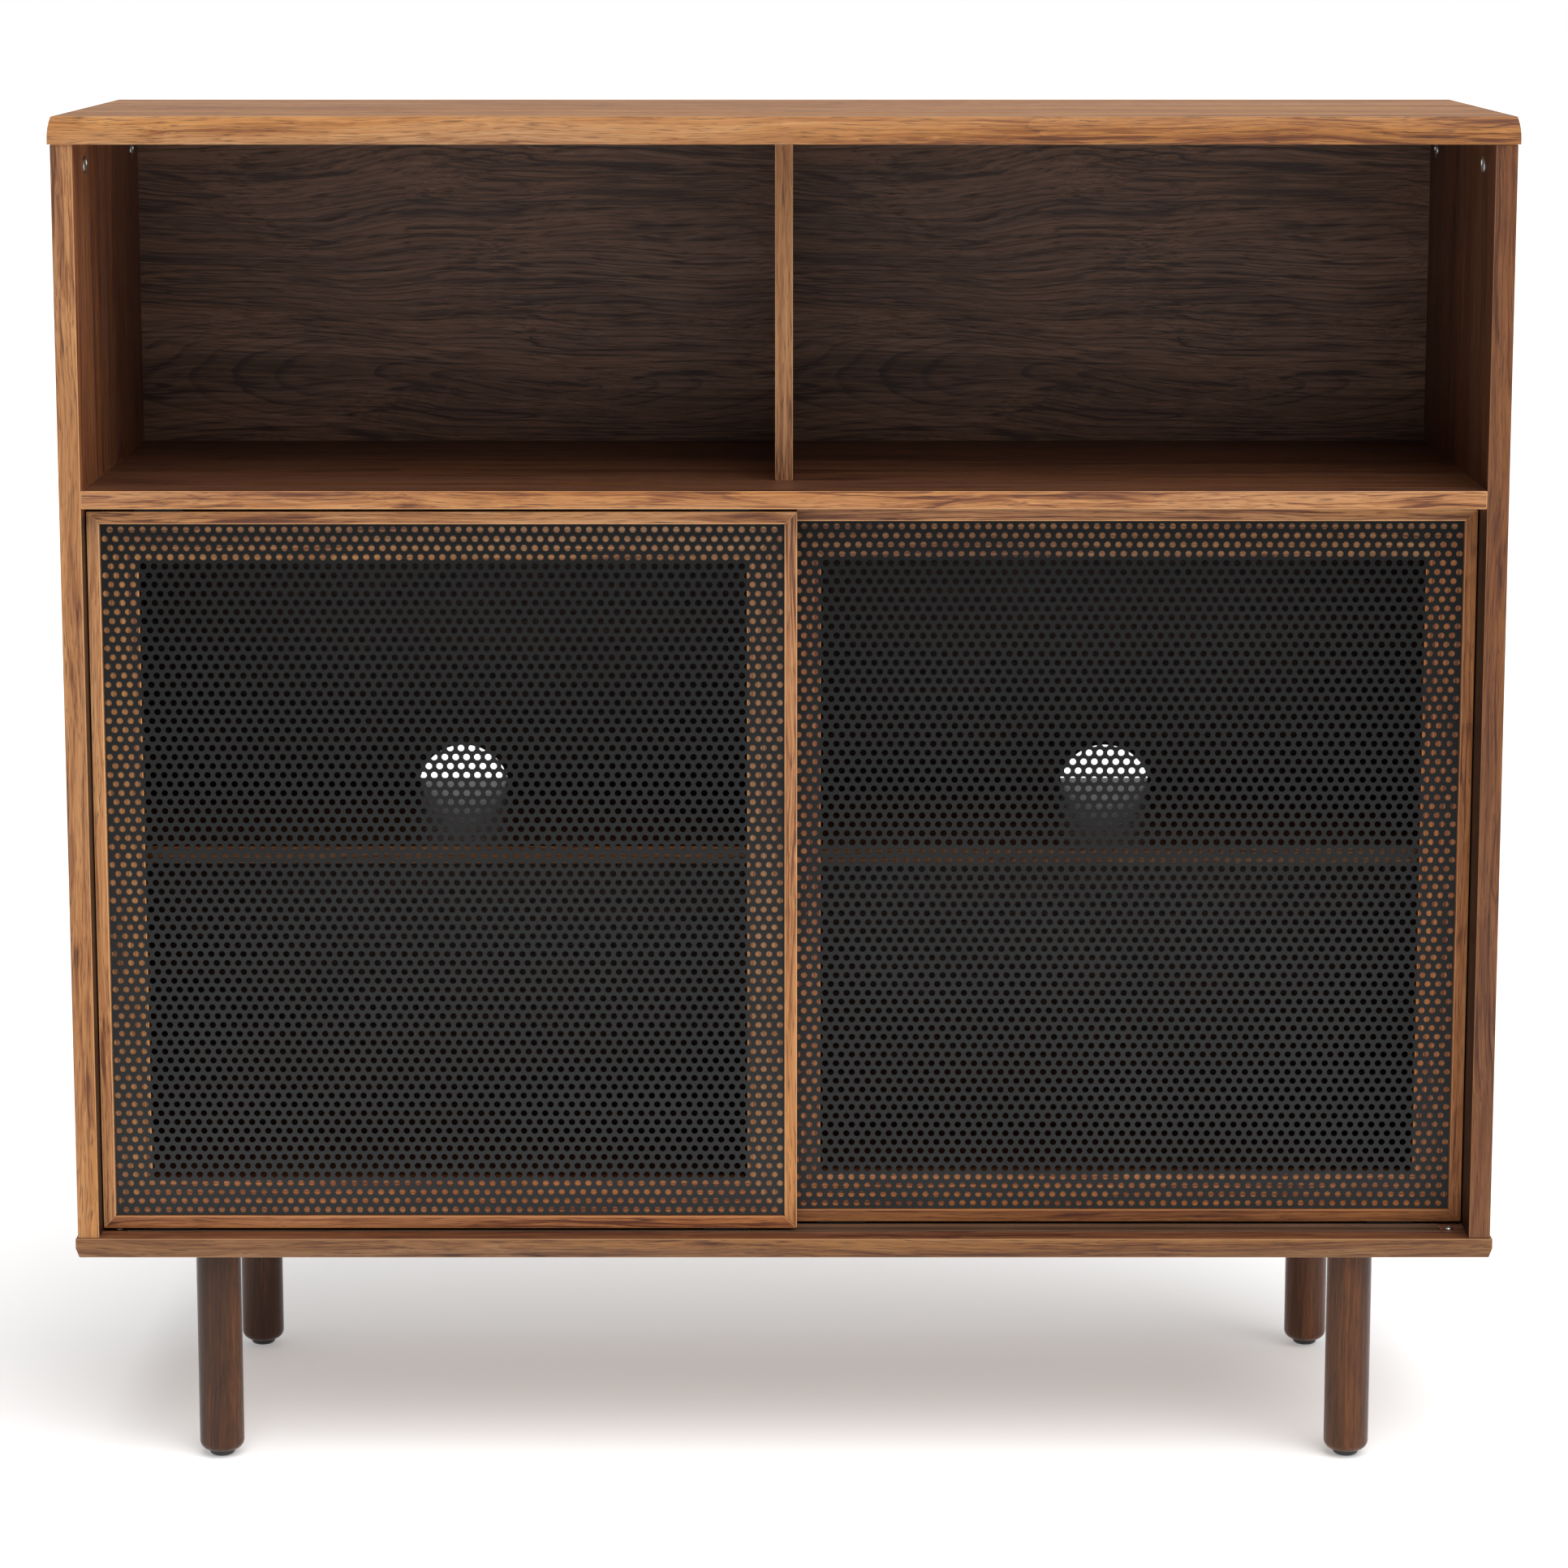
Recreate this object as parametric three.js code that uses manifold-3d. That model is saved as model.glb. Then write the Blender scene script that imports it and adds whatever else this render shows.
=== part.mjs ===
// Media cabinet on four round legs: an open upper tier over two bays that are closed by two
// framed, perforated sheet doors, which slide past each other in channel tracks.
// Millimetres, +Z up, the front faces -Y, the floor is z = 0 and the origin is under the middle.

import * as THREE from "three";
import { ConvexGeometry } from "three/addons/geometries/ConvexGeometry.js";
import { mergeVertices } from "three/addons/utils/BufferGeometryUtils.js";
import Module from "manifold-3d";

const wasm = await Module();
wasm.setup();

// ---------------------------------------------------------------- driving dimensions

const WIDTH = 1200; // across the top and bottom panels
const DEPTH = 400;
const LEG_HEIGHT = 185; // floor to underside, glide included
const BOTTOM_THICKNESS = 17;
const SIDE_HEIGHT = 920.5;
const TOP_THICKNESS = 22.5;
const SIDE_THICKNESS = 18;
const SHELF_THICKNESS = 15; // shelves, divider and partition
const OVERHANG = 2; // top and bottom panels past the sides and past the shelf's front edge

const TOP_BEVEL_START = 5; // height of the plumb lower part of the top panel's edge
const TOP_BEVEL_INSET = 3;
const TOP_BEVEL_STEPS = 4;
const BOTTOM_BEVEL_INSET = 2.5;

const LOWER_BAY_HEIGHT = 621.5; // bottom panel to the underside of the middle shelf
const INNER_SHELF_HEIGHT = 311; // bottom panel to the underside of an inner shelf
const DIVIDER_SETBACK = 78; // upper divider behind the front
const INNER_SETBACK = 65; // partition and inner shelves behind the front
const INNER_SHELF_GAP = 2; // shelf end to panel

const BACK_THICKNESS = 4;
const BACK_RECESS = 5; // back panel's rear face to the rear edges
const BACK_GROOVE_DEPTH = 5;
const BACK_CLEARANCE = 0.5; // around a back panel in its groove
const BACK_SEAM = 0.5; // between the two back panels
const CABLE_HOLE_RADIUS = 41.5;
const CABLE_HOLE_OFFSET = 4; // hole centre above the inner shelf's underside

const DOOR_WIDTH = 590;
const DOOR_HEIGHT = 614;
const DOOR_THICKNESS = 18;
const DOOR_LIFT = 3; // door's lower edge above the bottom panel
const DOOR_SIDE_GAP = 1;
const FRONT_DOOR_SETBACK = 23;
const REAR_DOOR_SETBACK = 44;
const FRAME_WIDTH = 42;
const FRAME_LIP = 10.5; // wood left in front of the sheet's edge
const RABBET_DEPTH = 4;
const SHEET_THICKNESS = 1;
const SHEET_GAP = 0.5;

const TRACK_WIDTH = 16;
const TRACK_DEPTH = 8; // depth of the groove that holds a track
const TRACK_PROUD = 0.5;
const TRACK_WALL = 2;
const TRACK_FLOOR = 1.5;
const TRACK_LENGTH = 1119;
const TRACK_SIDE_GAP = 0.25;

const GUIDE_LENGTH = 40;
const GUIDE_INSET = 60; // guide centre from the door's edge
const GUIDE_FLANGE_WIDTH = 16;
const GUIDE_FLANGE_THICKNESS = 1.5;
const GUIDE_BLADE_WIDTH = 8;
const GUIDE_BLADE_LENGTH = 30;
const LOWER_GUIDE_DROP = 9.2; // leaves 0.3 over the track's floor
const UPPER_GUIDE_RISE = 9; // leaves room to lift the door out

const STOP_SCREW_X = 567;
const STOP_SCREW_HEAD_RADIUS = 4;
const STOP_SCREW_HEAD_HEIGHT = 2.2;
const STOP_SCREW_SHANK_RADIUS = 1.5;
const STOP_SCREW_LENGTH = 10;

const CAM_RADIUS = 7.5;
const CAM_DEPTH = 12;
const CAM_PROUD = 1;
const CAM_BELOW_TOP = 19.5; // cam centre under the side's upper end
const CAM_SETBACKS = { front: 70, rear: 350 };

const PIN_RADIUS = 2.5;
const PIN_COLLAR_RADIUS = 4;
const PIN_COLLAR_THICKNESS = 1.5;
const PIN_TIP_LENGTH = 7;
const PIN_SHANK_LENGTH = 6;
const PIN_SETBACKS = { front: 100, rear: 350 };

const LEG_RADIUS = 19;
const LEG_EDGE_RADIUS = 8;
const LEG_X = 484;
const LEG_Y = 160;
const GLIDE_HEIGHT = 5;
const GLIDE_FLAT_RADIUS = 7;
const GLIDE_RIM_HEIGHT = 1.5;
const LEG_BOLT_RADIUS = 4;
const LEG_BOLT_IN_LEG = 25;
const LEG_BOLT_IN_PANEL = 7; // stays under the front track groove

const HOLE_GAP = 0.3; // all round a fastener in its hole
const HOLE_END_GAP = 0.5;
const OVERCUT = 1; // a cutter runs this far past an open face
const FINE_SEGMENTS = 32;
const SMALL_SEGMENTS = 16;
const HOLE_SEGMENTS = 48;
const ARC_STEPS = 5;

// ---------------------------------------------------------------- levels and planes

const FRONT_Y = -DEPTH / 2;
const REAR_Y = DEPTH / 2;
const BOTTOM_TOP_Z = LEG_HEIGHT + BOTTOM_THICKNESS;
const TOP_UNDER_Z = BOTTOM_TOP_Z + SIDE_HEIGHT;
const SHELF_UNDER_Z = BOTTOM_TOP_Z + LOWER_BAY_HEIGHT;
const SHELF_TOP_Z = SHELF_UNDER_Z + SHELF_THICKNESS;
const INNER_SHELF_Z = BOTTOM_TOP_Z + INNER_SHELF_HEIGHT;
const SIDE_OUTER_X = WIDTH / 2 - OVERHANG;
const SIDE_INNER_X = SIDE_OUTER_X - SIDE_THICKNESS;
const HALF_SHELF = SHELF_THICKNESS / 2;
const BACK_REAR_Y = REAR_Y - BACK_RECESS;
const BACK_FRONT_Y = BACK_REAR_Y - BACK_THICKNESS;
const BAY_CENTRE_X = (SIDE_INNER_X + HALF_SHELF) / 2;
const FRONT_TRACK_Y = FRONT_Y + FRONT_DOOR_SETBACK + DOOR_THICKNESS / 2;
const REAR_TRACK_Y = FRONT_Y + REAR_DOOR_SETBACK + DOOR_THICKNESS / 2;
const PIN_Z = INNER_SHELF_Z - PIN_RADIUS;

const SIDES = { left: -1, right: 1 };
const DEPTHS = { front: -1, rear: 1 };

// ---------------------------------------------------------------- materials

function finish(color, roughness, metalness = 0) {
  return new THREE.MeshStandardMaterial({ color, roughness, metalness });
}

const makeWalnut = () => finish(0x9a6b45, 0.5);
const makeDarkWalnut = () => finish(0x5a3b26, 0.55);
const makeLegWood = () => finish(0x3b291f, 0.45);
const makeSheetPaint = () => finish(0x34373a, 0.55, 0.4);
const makeTrackPlastic = () => finish(0x6b5140, 0.5);
const makeBlackPlastic = () => finish(0x161616, 0.5);
const makeZinc = () => finish(0xc4c6c8, 0.3, 1);

// ---------------------------------------------------------------- geometry helpers

const cabinet = new THREE.Group();
cabinet.name = "media_cabinet";

function addMesh(parent, name, geometry, material) {
  const mesh = new THREE.Mesh(geometry, material);
  mesh.name = name;
  parent.add(mesh);
  return mesh;
}

function box(xa, xb, ya, yb, za, zb) {
  const geometry = new THREE.BoxGeometry(Math.abs(xb - xa), Math.abs(yb - ya), Math.abs(zb - za));
  return geometry.translate((xa + xb) / 2, (ya + yb) / 2, (za + zb) / 2);
}

// A convex panel from level outlines: each level has its height and how far its ends and
// front edge stand in. The rear edge stays plumb.
function edgedPanel(levels) {
  const points = levels.flatMap(({ z, inset }) =>
    [-1, 1].flatMap((side) =>
      [FRONT_Y + inset, REAR_Y].map((y) => new THREE.Vector3(side * (WIDTH / 2 - inset), y, z))
    )
  );
  return new ConvexGeometry(points);
}

// An outline of [y, z] points, run along X.
function extrudeAlongX(outline, start, end) {
  const shape = new THREE.Shape(outline.map(([y, z]) => new THREE.Vector2(y, z)));
  const geometry = new THREE.ExtrudeGeometry(shape, { depth: end - start, bevelEnabled: false });
  const turn = new THREE.Matrix4().makeBasis(
    new THREE.Vector3(0, 1, 0),
    new THREE.Vector3(0, 0, 1),
    new THREE.Vector3(1, 0, 0)
  );
  return geometry.applyMatrix4(turn).translate(start, 0, 0);
}

// An outline of [x, z] points, run backwards from y = 0 to y = depth.
function extrudeAlongY(outline, depth) {
  const shape = new THREE.Shape(outline.map(([x, z]) => new THREE.Vector2(x, z)));
  const geometry = new THREE.ExtrudeGeometry(shape, { depth, bevelEnabled: false });
  const turn = new THREE.Matrix4().makeBasis(
    new THREE.Vector3(1, 0, 0),
    new THREE.Vector3(0, 0, 1),
    new THREE.Vector3(0, -1, 0)
  );
  return geometry.applyMatrix4(turn).translate(0, depth, 0);
}

// A profile of [radius, z] points, turned about an upright axis.
function turned(profile, segments) {
  const points = profile.map(([radius, z]) => new THREE.Vector2(radius, z));
  return new THREE.LatheGeometry(points, segments).rotateX(Math.PI / 2);
}

function uprightCylinder(radius, x, y, za, zb, segments) {
  return turned([[0, za], [radius, za], [radius, zb], [0, zb]], segments).translate(x, y, 0);
}

// A cylinder whose axis runs along X.
function levelCylinder(radius, xa, xb, y, z, segments) {
  const length = Math.abs(xb - xa);
  const geometry = new THREE.CylinderGeometry(radius, radius, length, segments);
  return geometry.rotateZ(Math.PI / 2).translate((xa + xb) / 2, y, z);
}

// Points on a quarter circle in a [radius, z] profile, from angle a to angle b in degrees.
function arc(centreRadius, centreZ, radius, a, b) {
  return Array.from({ length: ARC_STEPS + 1 }, (_, step) => {
    const angle = THREE.MathUtils.degToRad(a + ((b - a) * step) / ARC_STEPS);
    return [centreRadius + radius * Math.cos(angle), centreZ + radius * Math.sin(angle)];
  });
}

function toSolid(geometry) {
  const bare = geometry.clone();
  bare.deleteAttribute("normal");
  bare.deleteAttribute("uv");
  const merged = mergeVertices(bare);
  return new wasm.Manifold(
    new wasm.Mesh({
      numProp: 3,
      vertProperties: new Float32Array(merged.attributes.position.array),
      triVerts: new Uint32Array(merged.index.array),
    })
  );
}

function cut(geometry, cutters) {
  const solid = cutters.reduce((rest, cutter) => rest.subtract(toSolid(cutter)), toSolid(geometry));
  const mesh = solid.getMesh();
  const result = new THREE.BufferGeometry();
  result.setAttribute("position", new THREE.BufferAttribute(mesh.vertProperties, 3));
  result.setIndex(new THREE.BufferAttribute(mesh.triVerts, 1));
  return result;
}

// ---------------------------------------------------------------- carcass

const BACK_GROOVE_FRONT_Y = BACK_FRONT_Y - BACK_CLEARANCE;
const BACK_GROOVE_REAR_Y = BACK_REAR_Y + BACK_CLEARANCE;
const BACK_GROOVE_X = SIDE_INNER_X + BACK_GROOVE_DEPTH;

function levelBackGroove(za, zb) {
  return box(-BACK_GROOVE_X, BACK_GROOVE_X, BACK_GROOVE_FRONT_Y, BACK_GROOVE_REAR_Y, za, zb);
}

function trackGroove(y, za, zb) {
  const halfLength = TRACK_LENGTH / 2 + BACK_CLEARANCE;
  const halfWidth = TRACK_WIDTH / 2 + TRACK_SIDE_GAP;
  return box(-halfLength, halfLength, y - halfWidth, y + halfWidth, za, zb);
}

function topPanel() {
  const slope = TOP_THICKNESS - TOP_BEVEL_START;
  const levels = [{ z: TOP_UNDER_Z, inset: 0 }];
  for (let step = 0; step <= TOP_BEVEL_STEPS; step += 1) {
    const part = step / TOP_BEVEL_STEPS;
    const z = TOP_UNDER_Z + TOP_BEVEL_START + slope * part;
    levels.push({ z, inset: TOP_BEVEL_INSET * part * part });
  }
  return cut(edgedPanel(levels), [
    levelBackGroove(TOP_UNDER_Z - OVERCUT, TOP_UNDER_Z + BACK_GROOVE_DEPTH),
  ]);
}

function bottomPanel() {
  const levels = [
    { z: LEG_HEIGHT, inset: BOTTOM_BEVEL_INSET },
    { z: LEG_HEIGHT + BOTTOM_THICKNESS / 2, inset: 0 },
    { z: BOTTOM_TOP_Z, inset: 0 },
  ];
  const over = BOTTOM_TOP_Z + OVERCUT;
  const cutters = [levelBackGroove(BOTTOM_TOP_Z - BACK_GROOVE_DEPTH, over)];
  for (const y of [FRONT_TRACK_Y, REAR_TRACK_Y]) {
    cutters.push(trackGroove(y, BOTTOM_TOP_Z - TRACK_DEPTH, over));
  }
  for (const side of Object.values(SIDES)) {
    const radius = STOP_SCREW_SHANK_RADIUS + HOLE_GAP;
    const holeEnd = BOTTOM_TOP_Z - STOP_SCREW_LENGTH - HOLE_END_GAP;
    cutters.push(
      uprightCylinder(radius, side * STOP_SCREW_X, FRONT_TRACK_Y, holeEnd, over, SMALL_SEGMENTS)
    );
    for (const depth of Object.values(DEPTHS)) {
      const boltEnd = LEG_HEIGHT + LEG_BOLT_IN_PANEL + HOLE_END_GAP;
      cutters.push(
        uprightCylinder(
          LEG_BOLT_RADIUS + HOLE_GAP,
          side * LEG_X,
          depth * LEG_Y,
          LEG_HEIGHT - OVERCUT,
          boltEnd,
          SMALL_SEGMENTS
        )
      );
    }
  }
  return cut(edgedPanel(levels), cutters);
}

function pinHole(faceX, inward, y) {
  const depth = PIN_SHANK_LENGTH + HOLE_END_GAP / 2;
  return levelCylinder(
    PIN_RADIUS + HOLE_GAP,
    faceX + inward * OVERCUT,
    faceX - inward * depth,
    y,
    PIN_Z,
    SMALL_SEGMENTS
  );
}

function sidePanel(side) {
  const inner = side * SIDE_INNER_X;
  const outer = side * SIDE_OUTER_X;
  const cutters = [
    box(
      inner - side * OVERCUT,
      inner + side * BACK_GROOVE_DEPTH,
      BACK_GROOVE_FRONT_Y,
      BACK_GROOVE_REAR_Y,
      BOTTOM_TOP_Z - OVERCUT,
      TOP_UNDER_Z + OVERCUT
    ),
  ];
  for (const setback of Object.values(CAM_SETBACKS)) {
    cutters.push(
      levelCylinder(
        CAM_RADIUS + HOLE_GAP,
        inner - side * OVERCUT,
        inner + side * (CAM_DEPTH + HOLE_END_GAP),
        FRONT_Y + setback,
        TOP_UNDER_Z - CAM_BELOW_TOP,
        FINE_SEGMENTS
      )
    );
  }
  for (const setback of Object.values(PIN_SETBACKS)) {
    cutters.push(pinHole(inner, -side, FRONT_Y + setback));
  }
  const front = FRONT_Y + OVERHANG;
  return cut(box(inner, outer, front, REAR_Y, BOTTOM_TOP_Z, TOP_UNDER_Z), cutters);
}

function middleShelf() {
  const front = FRONT_Y + OVERHANG;
  const under = SHELF_UNDER_Z - OVERCUT;
  return cut(
    box(-SIDE_INNER_X, SIDE_INNER_X, front, BACK_FRONT_Y, SHELF_UNDER_Z, SHELF_TOP_Z),
    [FRONT_TRACK_Y, REAR_TRACK_Y].map((y) => trackGroove(y, under, SHELF_UNDER_Z + TRACK_DEPTH))
  );
}

function upperDivider() {
  const front = FRONT_Y + DIVIDER_SETBACK;
  return box(-HALF_SHELF, HALF_SHELF, front, BACK_FRONT_Y, SHELF_TOP_Z, TOP_UNDER_Z);
}

function lowerPartition() {
  const front = FRONT_Y + INNER_SETBACK;
  const cutters = Object.values(SIDES).flatMap((side) =>
    Object.values(PIN_SETBACKS).map((setback) => pinHole(side * HALF_SHELF, side, FRONT_Y + setback))
  );
  return cut(
    box(-HALF_SHELF, HALF_SHELF, front, BACK_FRONT_Y, BOTTOM_TOP_Z, SHELF_UNDER_Z),
    cutters
  );
}

function backPanel(side) {
  const inner = (side * BACK_SEAM) / 2;
  const outer = side * (BACK_GROOVE_X - BACK_CLEARANCE);
  const lower = BOTTOM_TOP_Z - BACK_GROOVE_DEPTH + BACK_CLEARANCE;
  const upper = TOP_UNDER_Z + BACK_GROOVE_DEPTH - BACK_CLEARANCE;
  const hole = new THREE.CylinderGeometry(
    CABLE_HOLE_RADIUS,
    CABLE_HOLE_RADIUS,
    BACK_THICKNESS + 2 * OVERCUT,
    HOLE_SEGMENTS
  );
  const holeY = (BACK_FRONT_Y + BACK_REAR_Y) / 2;
  hole.translate(side * BAY_CENTRE_X, holeY, INNER_SHELF_Z + CABLE_HOLE_OFFSET);
  return cut(box(inner, outer, BACK_FRONT_Y, BACK_REAR_Y, lower, upper), [hole]);
}

function innerShelf(side) {
  const near = side * (HALF_SHELF + INNER_SHELF_GAP);
  const far = side * (SIDE_INNER_X - INNER_SHELF_GAP);
  const front = FRONT_Y + INNER_SETBACK;
  return box(near, far, front, BACK_FRONT_Y, INNER_SHELF_Z, INNER_SHELF_Z + SHELF_THICKNESS);
}

function addCarcass() {
  addMesh(cabinet, "top_panel", topPanel(), makeWalnut());
  addMesh(cabinet, "bottom_panel", bottomPanel(), makeWalnut());
  addMesh(cabinet, "middle_shelf", middleShelf(), makeWalnut());
  addMesh(cabinet, "upper_divider", upperDivider(), makeWalnut());
  addMesh(cabinet, "lower_partition", lowerPartition(), makeDarkWalnut());
  for (const [sideName, side] of Object.entries(SIDES)) {
    addMesh(cabinet, `side_panel_${sideName}`, sidePanel(side), makeWalnut());
    addMesh(cabinet, `back_panel_${sideName}`, backPanel(side), makeDarkWalnut());
    addMesh(cabinet, `inner_shelf_${sideName}`, innerShelf(side), makeDarkWalnut());
  }
}

// ---------------------------------------------------------------- fittings

// A pin turned about its own axis: shank in the hole, collar on the panel, tip under the shelf.
function shelfPin() {
  const tipEnd = PIN_COLLAR_THICKNESS + PIN_TIP_LENGTH;
  return turned(
    [
      [0, -PIN_SHANK_LENGTH],
      [PIN_RADIUS, -PIN_SHANK_LENGTH],
      [PIN_RADIUS, 0],
      [PIN_COLLAR_RADIUS, 0],
      [PIN_COLLAR_RADIUS, PIN_COLLAR_THICKNESS],
      [PIN_RADIUS, PIN_COLLAR_THICKNESS],
      [PIN_RADIUS, tipEnd],
      [0, tipEnd],
    ],
    SMALL_SEGMENTS
  );
}

function addShelfPins() {
  for (const [sideName, side] of Object.entries(SIDES)) {
    const faces = { outer: side * SIDE_INNER_X, inner: side * HALF_SHELF };
    for (const [faceName, faceX] of Object.entries(faces)) {
      const inward = faceName === "outer" ? -side : side;
      for (const [depthName, setback] of Object.entries(PIN_SETBACKS)) {
        const name = `shelf_pin_${sideName}_${faceName}_${depthName}`;
        const pin = addMesh(cabinet, name, shelfPin(), makeZinc());
        pin.rotation.y = (inward * Math.PI) / 2;
        pin.position.set(faceX, FRONT_Y + setback, PIN_Z);
      }
    }
  }
}

function addCamLocks() {
  for (const [sideName, side] of Object.entries(SIDES)) {
    for (const [depthName, setback] of Object.entries(CAM_SETBACKS)) {
      const cam = levelCylinder(
        CAM_RADIUS,
        side * (SIDE_INNER_X - CAM_PROUD),
        side * (SIDE_INNER_X + CAM_DEPTH),
        FRONT_Y + setback,
        TOP_UNDER_Z - CAM_BELOW_TOP,
        FINE_SEGMENTS
      );
      addMesh(cabinet, `cam_lock_${sideName}_${depthName}`, cam, makeZinc());
    }
  }
}

// A channel whose floor is at seatZ and whose walls run in the direction of opening (+1 or -1).
function trackChannel(y, seatZ, opening) {
  const half = TRACK_WIDTH / 2;
  const inner = half - TRACK_WALL;
  const rim = seatZ + opening * (TRACK_DEPTH + TRACK_PROUD);
  const floor = seatZ + opening * TRACK_FLOOR;
  const outline = [
    [y - half, seatZ],
    [y + half, seatZ],
    [y + half, rim],
    [y + inner, rim],
    [y + inner, floor],
    [y - inner, floor],
    [y - inner, rim],
    [y - half, rim],
  ];
  return extrudeAlongX(outline, -TRACK_LENGTH / 2, TRACK_LENGTH / 2);
}

function addTracks() {
  const lines = { front: FRONT_TRACK_Y, rear: REAR_TRACK_Y };
  for (const [lineName, y] of Object.entries(lines)) {
    const lower = trackChannel(y, BOTTOM_TOP_Z - TRACK_DEPTH, 1);
    const upper = trackChannel(y, SHELF_UNDER_Z + TRACK_DEPTH, -1);
    addMesh(cabinet, `lower_track_${lineName}`, lower, makeTrackPlastic());
    addMesh(cabinet, `upper_track_${lineName}`, upper, makeTrackPlastic());
  }
}

function addStopScrews() {
  const crown = STOP_SCREW_HEAD_RADIUS / 2;
  const profile = [
    [0, -STOP_SCREW_LENGTH],
    [STOP_SCREW_SHANK_RADIUS, -STOP_SCREW_LENGTH],
    [STOP_SCREW_SHANK_RADIUS, 0],
    [STOP_SCREW_HEAD_RADIUS, 0],
    [STOP_SCREW_HEAD_RADIUS, STOP_SCREW_HEAD_HEIGHT / 2],
    [crown, STOP_SCREW_HEAD_HEIGHT],
    [0, STOP_SCREW_HEAD_HEIGHT],
  ];
  for (const [sideName, side] of Object.entries(SIDES)) {
    const name = `track_stop_screw_${sideName}`;
    const screw = addMesh(cabinet, name, turned(profile, SMALL_SEGMENTS), makeZinc());
    screw.position.set(side * STOP_SCREW_X, FRONT_TRACK_Y, BOTTOM_TOP_Z);
  }
}

// ---------------------------------------------------------------- legs

function legPost() {
  const foot = LEG_RADIUS - LEG_EDGE_RADIUS;
  const bore = LEG_BOLT_RADIUS + HOLE_GAP;
  const boreEnd = LEG_HEIGHT - LEG_BOLT_IN_LEG - HOLE_END_GAP;
  return turned(
    [
      [0, GLIDE_HEIGHT],
      ...arc(foot, GLIDE_HEIGHT + LEG_EDGE_RADIUS, LEG_EDGE_RADIUS, -90, 0),
      [LEG_RADIUS, LEG_HEIGHT],
      [bore, LEG_HEIGHT],
      [bore, boreEnd],
      [0, boreEnd],
    ],
    FINE_SEGMENTS
  );
}

function legGlide() {
  const rim = LEG_RADIUS - LEG_EDGE_RADIUS;
  const rise = GLIDE_HEIGHT - GLIDE_RIM_HEIGHT;
  const edge = arc(0, 0, 1, -90, 0).map(([across, up]) => [
    GLIDE_FLAT_RADIUS + (rim - GLIDE_FLAT_RADIUS) * across,
    rise + rise * up,
  ]);
  return turned([[0, 0], ...edge, [rim, GLIDE_HEIGHT], [0, GLIDE_HEIGHT]], FINE_SEGMENTS);
}

function addLegs() {
  const boltStart = LEG_HEIGHT - LEG_BOLT_IN_LEG;
  const boltEnd = LEG_HEIGHT + LEG_BOLT_IN_PANEL;
  for (const [sideName, side] of Object.entries(SIDES)) {
    for (const [depthName, depth] of Object.entries(DEPTHS)) {
      const place = [side * LEG_X, depth * LEG_Y, 0];
      const corner = `${depthName}_${sideName}`;
      const bolt = uprightCylinder(LEG_BOLT_RADIUS, 0, 0, boltStart, boltEnd, SMALL_SEGMENTS);
      addMesh(cabinet, `leg_${corner}`, legPost(), makeLegWood()).position.set(...place);
      addMesh(cabinet, `leg_glide_${corner}`, legGlide(), makeBlackPlastic()).position.set(...place);
      addMesh(cabinet, `leg_bolt_${corner}`, bolt, makeZinc()).position.set(...place);
    }
  }
}

// ---------------------------------------------------------------- sliding doors

// Four mitred members. Each keeps a lip in front of the sheet and a seat behind it.
function doorFrameOutlines() {
  const near = FRAME_WIDTH;
  const farX = DOOR_WIDTH - FRAME_WIDTH;
  const farZ = DOOR_HEIGHT - FRAME_WIDTH;
  return {
    stile_left: [[0, 0], [near, near], [near, farZ], [0, DOOR_HEIGHT]],
    stile_right: [[DOOR_WIDTH, 0], [DOOR_WIDTH, DOOR_HEIGHT], [farX, farZ], [farX, near]],
    rail_lower: [[0, 0], [DOOR_WIDTH, 0], [farX, near], [near, near]],
    rail_upper: [[0, DOOR_HEIGHT], [near, farZ], [farX, farZ], [DOOR_WIDTH, DOOR_HEIGHT]],
  };
}

function frameMember(outline) {
  const rabbet = box(
    FRAME_LIP,
    DOOR_WIDTH - FRAME_LIP,
    -OVERCUT,
    RABBET_DEPTH,
    FRAME_LIP,
    DOOR_HEIGHT - FRAME_LIP
  );
  return cut(extrudeAlongY(outline, DOOR_THICKNESS), [rabbet]);
}

function doorSheet() {
  const edge = FRAME_LIP + SHEET_GAP;
  const front = RABBET_DEPTH - SHEET_THICKNESS;
  return box(edge, DOOR_WIDTH - edge, front, RABBET_DEPTH, edge, DOOR_HEIGHT - edge);
}

// A flange against the door's edge at z = 0 and a blade that runs in the channel, both
// reaching in the direction of reach (+1 up, -1 down).
function doorGuide(reach, bladeLength) {
  const flange = GUIDE_FLANGE_WIDTH / 2;
  const blade = GUIDE_BLADE_WIDTH / 2;
  const flangeEnd = reach * GUIDE_FLANGE_THICKNESS;
  const bladeEnd = reach * bladeLength;
  const outline = [
    [-flange, 0],
    [flange, 0],
    [flange, flangeEnd],
    [blade, flangeEnd],
    [blade, bladeEnd],
    [-blade, bladeEnd],
    [-blade, flangeEnd],
    [-flange, flangeEnd],
  ];
  const half = GUIDE_LENGTH / 2;
  const bladeHalf = GUIDE_BLADE_LENGTH / 2;
  const trims = [-1, 1].map((end) =>
    box(
      end * bladeHalf,
      end * (half + OVERCUT),
      -flange - OVERCUT,
      flange + OVERCUT,
      flangeEnd,
      bladeEnd + reach * OVERCUT
    )
  );
  return cut(extrudeAlongX(outline, -half, half), trims);
}

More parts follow.
